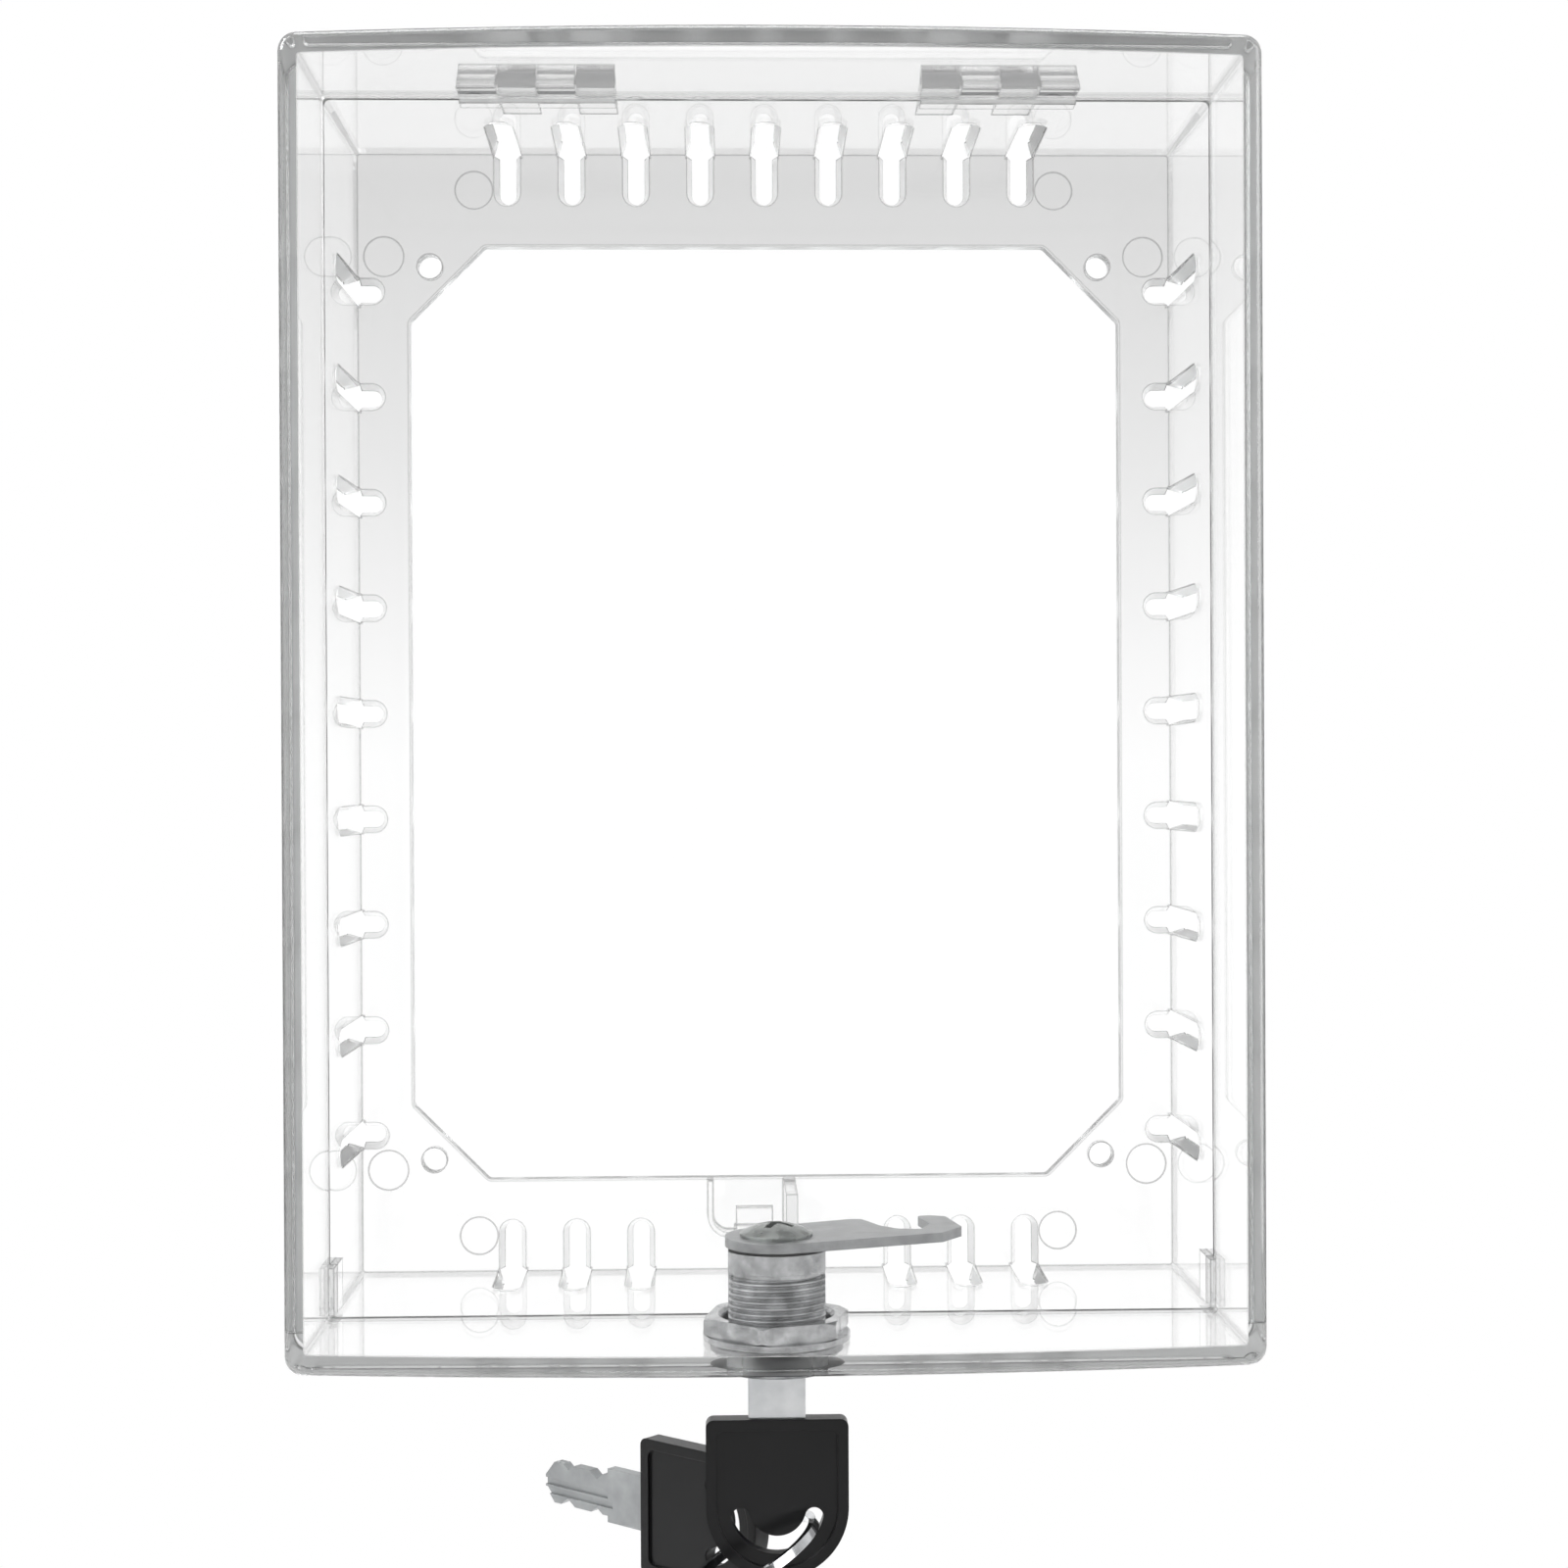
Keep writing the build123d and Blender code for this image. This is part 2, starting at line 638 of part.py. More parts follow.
# ---------------------------------------------------------------- keys
def blade_half(cut_depths):
    """Edge of the blade from tip to shoulder, as points out from the middle."""
    half = blade_width / 2
    points = [(half * 0.3, blade_length), (half, blade_length - blade_tip_chamfer)]
    for place, depth in zip(blade_cut_places, cut_depths):
        y = blade_length - place
        points += [(half, y + depth * 1.4), (half - depth, y), (half, y - depth * 1.4)]
    return points + [(half, 0)]


def key_blade():
    """Double-sided blade, neck and the tang inside the bow."""
    right = blade_half(blade_cut_depths_right)
    left = [(-x, y) for x, y in reversed(blade_half(blade_cut_depths_left))]
    n, t = neck_width / 2, tang_width / 2
    low, deep = -neck_length, -neck_length - tang_length
    stem = [(n, 0), (n, low), (t, low), (t, deep), (-t, deep), (-t, low), (-n, low), (-n, 0)]
    flat = make_face(Polyline(*(right + stem + left), close=True))
    plane = Plane(origin=(0, lock_y - key_thickness / 2, flange_z), x_dir=(1, 0, 0), z_dir=(0, -1, 0))
    blade = extrude(plane * flat, -key_thickness)
    for side, offset, run_out in zip(groove_sides, groove_offsets, groove_run_outs):
        face_y = lock_y + side * key_thickness / 2
        inner_y = face_y - side * groove_depth_key
        blade -= block(offset - groove_width_key / 2, offset + groove_width_key / 2,
                       face_y, inner_y, flange_z - run_out, flange_z + blade_length)
    return one(blade)


def bow_plan(inset):
    """Outline of the bow, pulled in by an inset, about its round end's centre."""
    r = bow_radius - inset
    top = bow_shoulder - inset
    plan = Pos(0, top / 2) * Rectangle(2 * r, top) + Circle(r)
    corners = plan.vertices().filter_by(lambda v: v.Y > top / 2)
    return fillet(corners, bow_corner_radius)


def crescent():
    """Curved slot that follows the round end."""
    start = 270 - slot_half_angle
    arc = CenterArc((0, 0), slot_radius, start, 2 * slot_half_angle)
    slot = trace(arc, slot_width)
    ends = [arc.position_at(t) for t in (0, 1)]
    for p in ends:
        slot += Pos(p.X, p.Y) * Circle(slot_width / 2)
    return slot


def key_bow():
    """Moulded bow over the tang: rim, recessed panels and the ring's slot."""
    front = lock_y - bow_thickness / 2
    back = lock_y + bow_thickness / 2
    place = Pos(0, bow_centre_z)
    bow = extrude(facing(back) * place * bow_plan(0), bow_thickness)
    panel = bow_plan(bow_rim)
    bow -= extrude(facing(front + bow_panel_depth) * place * panel, bow_panel_depth)
    bow -= extrude(facing(back) * place * panel, bow_panel_depth)
    bow -= extrude(facing(back) * place * crescent(), bow_thickness)
    half = key_thickness / 2
    bow -= block(-tang_width / 2, tang_width / 2, lock_y - half, lock_y + half,
                 bow_top_z - tang_length, bow_top_z)
    return one(bow)


def spare_place():
    """Move that takes the first key to the spare key's place on the ring."""
    bow_centre = Vector(0, lock_y, bow_centre_z)
    to_origin = Pos(*(-bow_centre))
    laid = Rot(0, -90, 0)
    turned = Rot(0, 0, -spare_turn)
    return Pos(*(bow_centre + Vector(*spare_offset))) * turned * laid * to_origin


# ---------------------------------------------------------------- ring
def slot_point(angle):
    """Point on the slot's centre line of the first key, from its lowest point."""
    a = math.radians(angle)
    return Vector(slot_radius * math.sin(a), lock_y, bow_centre_z - slot_radius * math.cos(a))


def ring_plane():
    """Plane of the ring through its places in both keys' slots."""
    first = slot_point(ring_slot_angle)
    second = (spare_place() * Vertex(*slot_point(spare_slot_angle))).center()
    chord = second - first
    mean = ring_outer_radius - ring_strand_width / 2
    rise = math.sqrt(mean ** 2 - (chord.length / 2) ** 2)
    forward = Vector(0, -1, 0)
    along = chord.normalized()
    side = (forward - along * forward.dot(along)).normalized()
    centre = first + chord * 0.5 + side * rise
    normal = along.cross(side)
    if normal.Z < 0:
        normal = normal * -1
    return Plane(origin=centre, x_dir=first - centre, z_dir=normal)


def ring_arc(level_z):
    """One flat turn, open over the step."""
    inner = ring_outer_radius - ring_strand_width
    turn = Circle(ring_outer_radius) - Circle(inner)
    half = math.radians(ring_step_angle / 2)
    far = 2 * ring_outer_radius
    wedge = make_face(Polyline((0, 0), (far, far * math.tan(half)), (far, -far * math.tan(half)), close=True))
    return extrude(Pos(0, 0, level_z) * (turn - wedge), ring_strand_height)


def ring_step():
    """Short ramp by which the strand passes from one turn to the next."""
    middle = ring_outer_radius - ring_strand_width / 2
    sections = []
    for share in (0.0, 1 / 3, 2 / 3, 1.0):
        angle = math.radians((share - 0.5) * ring_step_angle)
        centre = (middle * math.cos(angle), middle * math.sin(angle), (0.5 - share) * ring_strand_height)
        out = (math.cos(angle), math.sin(angle), 0)
        across = (-math.sin(angle), math.cos(angle), 0)
        section = Plane(origin=centre, x_dir=out, z_dir=across)
        sections.append(section * Rectangle(ring_strand_width, ring_strand_height))
    return loft(sections, ruled=True)


def key_ring():
    """Split ring of two turns joined by a step."""
    ring = ring_arc(0) + ring_arc(-ring_strand_height) + ring_step()
    turned = Rot(0, 0, 90) * ring
    return one(ring_plane().location * turned)


# ---------------------------------------------------------------- nodes
def make_nodes():
    """All separate pieces by name."""
    nodes = {
        "back_housing": back_housing(),
        "front_cover": front_cover(),
        "hinge_pin_left": hinge_pin(-1),
        "hinge_pin_right": hinge_pin(1),
        "lock_body": lock_body(),
        "lock_plug": lock_plug(),
        "lock_washer": lock_washer(),
        "lock_nut": lock_nut(),
        "cam": cam(),
        "cam_screw": cam_screw(),
        "key_ring": key_ring(),
    }
    for number in range(wafer_count):
        nodes[f"wafer_{number + 1}"] = wafer(number)
        nodes[f"wafer_spring_{number + 1}"] = wafer_spring(number)
    for name, piece in (("key_blade", key_blade()), ("key_bow", key_bow())):
        nodes[name] = piece
        nodes["spare_" + name] = spare_place() * piece
    return nodes


for name, piece in make_nodes().items():
    export_step(piece, f"parts/{name}.step")
    box = piece.bounding_box()
    print(f"{name:18s} {piece.volume:10.1f} mm3  {box.min} {box.max}")
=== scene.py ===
# %% [markdown]
# # A clear lock box for a wall thermostat
# The box is two clear polycarbonate mouldings: a base that is screwed to the
# wall round the thermostat, and a bowed cover that hangs on two pin hinges and
# is held at the bottom by a cam lock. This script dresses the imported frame:
# it keeps the solids that already look right, gives each one its material,
# and builds in mesh the one piece that needs finer detail, the lock's thread.

import math

import bpy
from mathutils import Matrix, Vector


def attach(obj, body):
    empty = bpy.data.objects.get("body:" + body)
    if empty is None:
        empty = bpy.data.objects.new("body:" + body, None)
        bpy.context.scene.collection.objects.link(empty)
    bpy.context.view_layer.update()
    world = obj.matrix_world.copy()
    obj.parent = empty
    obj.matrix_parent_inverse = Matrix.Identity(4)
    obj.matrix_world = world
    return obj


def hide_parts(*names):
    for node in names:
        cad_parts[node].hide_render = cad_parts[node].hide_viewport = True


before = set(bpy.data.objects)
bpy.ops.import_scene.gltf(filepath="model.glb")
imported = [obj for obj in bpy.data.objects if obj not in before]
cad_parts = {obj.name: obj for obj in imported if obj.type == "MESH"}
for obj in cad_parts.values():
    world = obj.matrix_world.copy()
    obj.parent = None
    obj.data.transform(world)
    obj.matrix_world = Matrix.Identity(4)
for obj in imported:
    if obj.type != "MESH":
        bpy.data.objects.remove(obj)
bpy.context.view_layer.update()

# %% [markdown]
# Drawings of such hardware are in millimetres and Blender works in metres,
# so one factor turns the first into the second everywhere below. The lock's
# axis and the outside of the bottom wall are needed more than once.

# %% Units and shared places
MM = 0.001
LOCK_Y = -58.0
FLOOR_Z = -108.0


def mm(*values):
    """Millimetres to metres, as a vector."""
    return Vector(values) * MM


print("the lock's axis is", -LOCK_Y, "mm in front of the wall")

# %% [markdown]
# ## Materials
# Every finish is a small node tree. One helper turns a hex colour, as a paint
# chart gives it, into the linear colour that the renderer adds up. Another
# adds a node with its settings, its values and its links in a single line,
# and a third starts an empty material.

# %% Helpers for materials
def hex_colour(code):
    """sRGB hex to linear RGBA."""
    out = []
    for i in (1, 3, 5):
        c = int(code[i:i + 2], 16) / 255
        out.append(c / 12.92 if c <= 0.04045 else ((c + 0.055) / 1.055) ** 2.4)
    return (*out, 1.0)


def add(tree, kind, inputs=None, **settings):
    """Adds a node. An input takes a value, an output, or a node's first output."""
    node = tree.nodes.new(kind)
    for name, value in settings.items():
        setattr(node, name, value)
    for socket, value in (inputs or {}).items():
        if isinstance(value, bpy.types.Node):
            value = value.outputs[0]
        if isinstance(value, bpy.types.NodeSocket):
            tree.links.new(value, node.inputs[socket])
        else:
            node.inputs[socket].default_value = value
    return node


def new_material(name):
    """Empty node material with its output."""
    material = bpy.data.materials.new(name)
    material.use_nodes = True
    tree = material.node_tree
    tree.nodes.clear()
    return material, tree, add(tree, "ShaderNodeOutputMaterial")


print("mid grey #808080 is", round(hex_colour("#808080")[0], 3), "in linear light")

# %% [markdown]
# ### Where the plastic isn't polished
# The barrel, rim and seat masks also carry a painted shade, set further down.
# Both halves of the box are injection-moulded polycarbonate with polished
# faces, but a mould leaves some places matt. The hinge barrels keep the grain
# of their sliding cores, and so do the two rims that meet at the parting
# plane, the flanks of every vent and hole, and the seat under the lock's
# flange. A painted texture could mark such places. A mask worked out from
# positions on the moulding is sharper and needs no unwrapping, so each place
# gets one, which is 1 inside and 0 outside.
#
# The bores of the hinges have a mask too. There the plastic is swapped for
# dark steel, a painted shade for the pin inside, so a bore shows dark instead of mirroring the
# room.

# %% Masks by position
WALL = 3.0
PARTING_Y, HINGE_Z = -39.5, 110.8
BARREL_REACH, BORE_RADIUS = 3.2, 1.05
RIM_REACH = 0.5
SEAT_RADIUS = 11.0
# The walls' middles as seen from the box's own middle, and how deep the vents go.
SIDE_WALL_X, END_WALL_Z, WALL_REACH = 77.55, 106.05, 1.1
VENT_MIDDLE, VENT_REACH = -15.0, 15.0
# Inside these the back plate is free, and this much of its faces stays polished.
INSIDE_X, INSIDE_Z, PLATE_SKIN = 75.5, 104.0, 0.2


def near(tree, coordinate, middle, reach):
    """1 within a reach of a middle value, both in millimetres, else 0."""
    off = add(tree, "ShaderNodeMath", {0: coordinate, 1: middle * MM}, operation="SUBTRACT")
    apart = add(tree, "ShaderNodeMath", {0: off}, operation="ABSOLUTE")
    return add(tree, "ShaderNodeMath", {0: apart, 1: reach * MM}, operation="LESS_THAN")


def near_point(tree, place, point, reach):
    """1 within a reach of a point, both in millimetres, else 0."""
    apart = add(tree, "ShaderNodeVectorMath", {0: place, 1: mm(*point)}, operation="DISTANCE")
    return add(tree, "ShaderNodeMath", {0: apart.outputs["Value"], 1: reach * MM},
               operation="LESS_THAN")


def all_of(tree, first, *others):
    """The product of several masks: 1 where all of them are 1."""
    for mask in others:
        first = add(tree, "ShaderNodeMath", {0: first, 1: mask}, operation="MULTIPLY")
    return first


def any_of(tree, first, *others):
    """The largest of several masks: 1 where one of them is 1."""
    for mask in others:
        first = add(tree, "ShaderNodeMath", {0: first, 1: mask}, operation="MAXIMUM")
    return first


def vent_flanks(tree, across, y, up):
    """Inside the thickness of the walls and of the back plate, between their faces."""
    through_wall = any_of(tree, near(tree, across, SIDE_WALL_X, WALL_REACH),
                          near(tree, up, END_WALL_Z, WALL_REACH))
    in_wall = all_of(tree, through_wall, near(tree, y, VENT_MIDDLE, VENT_REACH))
    in_plate = all_of(tree, near(tree, across, 0.0, INSIDE_X), near(tree, up, 0.0, INSIDE_Z),
                      near(tree, y, -WALL / 2, WALL / 2 - PLATE_SKIN))
    return any_of(tree, in_wall, in_plate)


def hinge_bore(tree, y, z):
    """Within the bore's radius of the hinge axis."""
    off_axis = add(tree, "ShaderNodeCombineXYZ", {"Y": y, "Z": z})
    return near_point(tree, off_axis, (0, PARTING_Y, HINGE_Z), BORE_RADIUS)


print("masks: hinge barrels, parting rims, lock seat, vent flanks, hinge bores")

# %% [markdown]
# ### Painted shade and witness lines on the clear plastic
# Sloped faces, such as the tapers of the vents, send part of the light away
# from the eye, so they get a light painted shade. The witness lines that
# ejector pins and cores leave as fine circles on the back plate send light
# away too, and are drawn as grey circles. The plate itself gets a painted
# shade that is grey at the top and fades out downwards. Nothing that is
# moulded is truly sharp either: over the last fraction of a millimetre an
# edge turns away and bends the light aside, so it shows as a line. Real
# roundings on every edge would cost far too many faces. The Bevel node gives
# the normal that a rounding would have, and where it leaves the face's own
# normal there is an edge, which gets a dark painted shade.

# %% Masks by shape
# A painted shade line's width, and the likeness of both normals where it starts and is full.
EDGE_LINE, EDGE_FROM, EDGE_FULL = 0.50, 0.98, 0.88
BEVEL_SAMPLES = 4
SQUARE_ON = 0.985
FACE_REACH = 0.3
PLATE_SHADE_FROM_Z, PLATE_SHADE_FULL_Z = -10.0, 110.0
# Each circle's middle, across and up, and its radius: two ejector pins, one core.
CIRCLE_WIDTH = 0.13
PLATE_CIRCLES = ((71.0, 85.3, 3.7), (54.2, 97.7, 3.5), (62.5, 83.5, 2.35))


def circle_lines(tree, across, up, y):
    """1 on thin circles, placed alike in all four corners of the plate's front."""
    corner = add(tree, "ShaderNodeCombineXYZ", {"X": across, "Z": up})
    lines = 0.0
    for centre_x, centre_z, radius in PLATE_CIRCLES:
        apart = add(tree, "ShaderNodeVectorMath", {0: corner, 1: mm(centre_x, 0, centre_z)},
                    operation="DISTANCE")
        ring = near(tree, apart.outputs["Value"], radius, CIRCLE_WIDTH)
        lines = any_of(tree, ring, lines)
    return all_of(tree, lines, near(tree, y, -WALL, FACE_REACH))


def facing_sizes(tree, true_normal):
    """How squarely a face looks along each axis of the piece: 1 is fully."""
    facing = add(tree, "ShaderNodeVectorTransform", {0: true_normal},
                 vector_type="NORMAL", convert_from="WORLD", convert_to="OBJECT")
    parts = add(tree, "ShaderNodeSeparateXYZ", {0: facing})
    return [add(tree, "ShaderNodeMath", {0: parts.outputs[axis]}, operation="ABSOLUTE")
            for axis in "XYZ"]


def plate_shade_mask(tree, y, z, to_front):
    """Painted shade on the plate's two faces, from nothing at mid height to full at the top."""
    height = add(tree, "ShaderNodeMapRange",
                 {"Value": z, "From Min": PLATE_SHADE_FROM_Z * MM, "From Max": PLATE_SHADE_FULL_Z * MM})
    square = add(tree, "ShaderNodeMath", {0: to_front, 1: SQUARE_ON}, operation="GREATER_THAN")
    on_plate = all_of(tree, near(tree, y, -WALL / 2, WALL / 2 + FACE_REACH), square)
    return all_of(tree, on_plate, height)


def edge_shade_lines(tree, true_normal):
    """1 where a rounding as wide as the line would have turned the face, for a painted shade
    line.
    """
    turned = add(tree, "ShaderNodeBevel", {"Radius": EDGE_LINE * MM}, samples=BEVEL_SAMPLES)
    alike = add(tree, "ShaderNodeVectorMath", {0: turned, 1: true_normal},
                operation="DOT_PRODUCT")
    share = add(tree, "ShaderNodeMath", {0: alike.outputs["Value"]}, operation="ABSOLUTE")
    return add(tree, "ShaderNodeMapRange",
               {"Value": share, "From Min": EDGE_FROM, "From Max": EDGE_FULL})


print("masks: slopes, plate shade, edge lines,", len(PLATE_CIRCLES), "circles in each corner")

# %% [markdown]
# ### Clear polycarbonate
# Polycarbonate bends light strongly (index 1.585), so its edges gather the
# room and turn grey while the faces all but vanish. Seen edge-on the light
# travels a long way through the plastic, and a faint grey absorption in its
# volume makes rims and ribs read as grey lines. A moulded face is never quite
# flat, so a very shallow ripple moves the reflections. Lamps have to reach the
# hardware inside, so shadow rays pass straight through instead of being
# focused, which would need far more samples.

# %% Clear polycarbonate
POLYCARBONATE_INDEX = 1.585
SMOKE, SMOKE_DENSITY = "#CBCCCC", 20.0
SHADOW_TINT = "#F4F5F5"
RIPPLE_WIDTH, RIPPLE_DEPTH, RIPPLE_STRENGTH = 14, 0.02, 0.03
EDGE_ROUND = 0.30
GRAINED_HINGE, GRAINED_RIM, GRAINED_SEAT, GRAINED_CUT = 0.12, 0.40, 0.45, 0.45
# Plain faces, a light painted shade for sloped faces, and the grey of the witness circles.
FACE_TINT, PAINTED_SLOPE_SHADE, CIRCLE_TINT = "#FFFFFF", "#ECECEC", "#9A9A9A"
# Painted shade on the edges, on the hinge barrels and on the plate's upper part.
PAINTED_EDGE_SHADE, PAINTED_BARREL_SHADE, PAINTED_PLATE_SHADE = "#646464", "#C6C6C6", "#D9D9D9"
# Painted shade on the parting rims and on the seat under the lock's flange.
PAINTED_RIM_SHADE, PAINTED_SEAT_SHADE = "#E2E2E2", "#A0A0A0"
# Dark steel in the hinge bores: painted shade for the pin that lies in them.
BORE_SHADE_STEEL, BORE_ROUGHNESS = "#505254", 0.35


def clear_polycarbonate():
    """Polished faces, matt places, painted shade on edges and other places, and a faint smoke
    inside.
    """
    material, tree, out = new_material("clear moulded polycarbonate")
    place = add(tree, "ShaderNodeTexCoord").outputs["Object"]
    x, y, z = add(tree, "ShaderNodeSeparateXYZ", {0: place}).outputs
    across = add(tree, "ShaderNodeMath", {0: x}, operation="ABSOLUTE")
    up = add(tree, "ShaderNodeMath", {0: z}, operation="ABSOLUTE")
    true_normal = add(tree, "ShaderNodeNewGeometry").outputs["True Normal"]

    # The hinge barrels are matt and also get a painted shade.
    barrel = all_of(tree, near(tree, y, PARTING_Y, BARREL_REACH),
                    near(tree, z, HINGE_Z, BARREL_REACH))
    # The parting rims are matt and also get a painted shade.
    rim = near(tree, y, PARTING_Y, RIM_REACH)
    # The seat under the lock's flange is matt and also gets a painted shade.
    seat = near_point(tree, place, (0, LOCK_Y, FLOOR_Z + WALL / 2), SEAT_RADIUS)
    cut = vent_flanks(tree, across, y, up)
    grain = 0.0
    for mask, roughness in ((barrel, GRAINED_HINGE), (rim, GRAINED_RIM),
                            (seat, GRAINED_SEAT), (cut, GRAINED_CUT)):
        grain = any_of(tree, all_of(tree, mask, roughness), grain)

    sizes = facing_sizes(tree, true_normal)
    # Faces that are not square to an axis get a light painted shade.
    sloped = add(tree, "ShaderNodeMath", {0: any_of(tree, *sizes), 1: SQUARE_ON},
                 operation="LESS_THAN")
    colour_and_shade = add(tree, "ShaderNodeMix",
               {0: sloped, 6: hex_colour(FACE_TINT), 7: hex_colour(PAINTED_SLOPE_SHADE)},
               data_type="RGBA")
    # Painted shade goes over the faces: the plate's upper part, the barrels, the rims, the seat
    # and every edge. The witness circles are drawn last.
    for share, code in ((plate_shade_mask(tree, y, z, sizes[1]), PAINTED_PLATE_SHADE), (barrel, PAINTED_BARREL_SHADE),
                        (rim, PAINTED_RIM_SHADE), (seat, PAINTED_SEAT_SHADE),
                        (edge_shade_lines(tree, true_normal), PAINTED_EDGE_SHADE),
                        (circle_lines(tree, across, up, y), CIRCLE_TINT)):
        colour_and_shade = add(tree, "ShaderNodeMix", {0: share, 6: colour_and_shade.outputs[2], 7: hex_colour(code)},
                   data_type="RGBA")

    ripple = add(tree, "ShaderNodeTexNoise",
                 {"Vector": place, "Scale": 1 / (RIPPLE_WIDTH * MM), "Detail": 1.0})
    wave = add(tree, "ShaderNodeBump", {"Height": ripple, "Strength": RIPPLE_STRENGTH,
                                        "Distance": RIPPLE_DEPTH * MM})
    rounded = add(tree, "ShaderNodeBevel", {"Radius": EDGE_ROUND * MM, "Normal": wave},
                  samples=BEVEL_SAMPLES)
    clear = add(tree, "ShaderNodeBsdfPrincipled",
                {"Base Color": colour_and_shade.outputs[2], "Specular Tint": colour_and_shade.outputs[2],
                 "Roughness": grain, "Normal": rounded,
                 "IOR": POLYCARBONATE_INDEX, "Transmission Weight": 1.0})
    straight = add(tree, "ShaderNodeBsdfTransparent", {"Color": hex_colour(SHADOW_TINT)})
    ray = add(tree, "ShaderNodeLightPath")
    plastic = add(tree, "ShaderNodeMixShader",
                  {0: ray.outputs["Is Shadow Ray"], 1: clear, 2: straight})
    bore_shade = add(tree, "ShaderNodeBsdfPrincipled",
                {"Base Color": hex_colour(BORE_SHADE_STEEL), "Metallic": 1.0,
                 "Roughness": BORE_ROUGHNESS})
    whole = add(tree, "ShaderNodeMixShader", {0: hinge_bore(tree, y, z), 1: plastic, 2: bore_shade})
    smoke = add(tree, "ShaderNodeVolumeAbsorption",
                {"Color": hex_colour(SMOKE), "Density": SMOKE_DENSITY})
    tree.links.new(whole.outputs[0], out.inputs["Surface"])
    tree.links.new(smoke.outputs[0], out.inputs["Volume"])
    return material


POLYCARBONATE = clear_polycarbonate()
print("made:", POLYCARBONATE.name, "with", len(POLYCARBONATE.node_tree.nodes), "nodes")

# %% [markdown]
# ### Metals
# The lock's body, nut and washer are zinc-plated: bright, slightly blotchy,
# with faint handling marks. Its cam and screw are duller. Keys are
# nickel-plated steel stampings, brushed along their length. A metal's colour
# sits in its base colour and its roughness does the rest, both varied by
# noise that is sized in real millimetres. Real handling marks are finer than
# 0.1 mm. Here they are 0.35 mm wide, as coarse as they need to be to show.

# %% How a metal is made
METAL_EDGE = 0.22
TONE_FROM, TONE_TO = 0.3, 0.7
MARK_WIDTH, MARK_DEPTH, MARK_STRENGTH = 0.35, 0.01, 0.25


def plated_metal(name, light, dark, roughness, spread, blotch_mm, brush=(1, 1, 1)):
    """Metal with soft blotches in tone and roughness, and fine brush lines."""
    material, tree, out = new_material(name)
    place = add(tree, "ShaderNodeTexCoord").outputs["Object"]
    blotch = add(tree, "ShaderNodeTexNoise",
                 {"Vector": place, "Scale": 1 / (blotch_mm * MM), "Detail": 4.0})
    tone = add(tree, "ShaderNodeValToRGB", {"Fac": blotch})
    ends = tone.color_ramp.elements
    for end, position, code in ((ends[0], TONE_FROM, dark), (ends[1], TONE_TO, light)):
        end.position, end.color = position, hex_colour(code)
    rough = add(tree, "ShaderNodeMapRange", {"Value": blotch, "To Min": roughness - spread,
                                             "To Max": roughness + spread})
    along = add(tree, "ShaderNodeMapping", {"Vector": place, "Scale": brush})
    marks = add(tree, "ShaderNodeTexNoise",
                {"Vector": along, "Scale": 1 / (MARK_WIDTH * MM), "Detail": 2.0})
    edge = add(tree, "ShaderNodeBevel", {"Radius": METAL_EDGE * MM}, samples=BEVEL_SAMPLES)
    bump = add(tree, "ShaderNodeBump", {"Height": marks, "Normal": edge,
                                        "Strength": MARK_STRENGTH, "Distance": MARK_DEPTH * MM})
    metal = add(tree, "ShaderNodeBsdfPrincipled",
                {"Base Color": tone, "Roughness": rough, "Normal": bump, "Metallic": 1.0})
    tree.links.new(metal.outputs[0], out.inputs["Surface"])
    return material


# %% [markdown]
# Each call states the tone of the light and dark blotches, the roughness and
# how far it varies, and the blotches' size. The last three numbers stretch
# the fine marks into brush lines along one axis.
#
# - A tumbled cam rubs against others in the drum, which leaves an even sheen.
# - Bright zinc comes straight from the bath and mirrors the room softly.
# - The screw has been gripped by a driver, so its plating is duller.
# - Drawn steel has fine lines along the wire. The hinge pin's copy is darker, a painted shade
#   for the pin inside its barrels.
# - The first key shines. The spare key's copy of its plating is rougher and darker, and the
#   darker tone is painted shade.
# - The ring is spring wire, the smoothest surface of all.
# - Wafers are stamped from brass strip. The plug's brass is nickel-plated.

# %% The metals
CAM_ZINC = plated_metal("tumbled zinc plating", "#A0A1A2", "#868788", 0.36, 0.06, 3.0)
ZINC = plated_metal("bright zinc plating", "#C8C9CA", "#929394", 0.20, 0.07, 3.0)
DULL_ZINC = plated_metal("dulled zinc plating", "#A9ACAA", "#747876", 0.28, 0.08, 3.0)
PIN_STEEL = plated_metal("drawn steel", "#8E9092", "#727476", 0.30, 0.05, 3.0, (0.1, 1, 1))
# A darker copy of drawn steel: painted shade for the pin inside the clear barrels.
SHADED_HINGE_STEEL = plated_metal("drawn steel darkened as painted shade", "#5A5C5E", "#3F4143", 0.32, 0.05, 3.0,
                           (0.1, 1, 1))
KEY_STEEL = plated_metal("brushed nickel plating", "#D8D9DA", "#BCBEC0", 0.38, 0.06, 5.0,
                         (1, 1, 0.08))
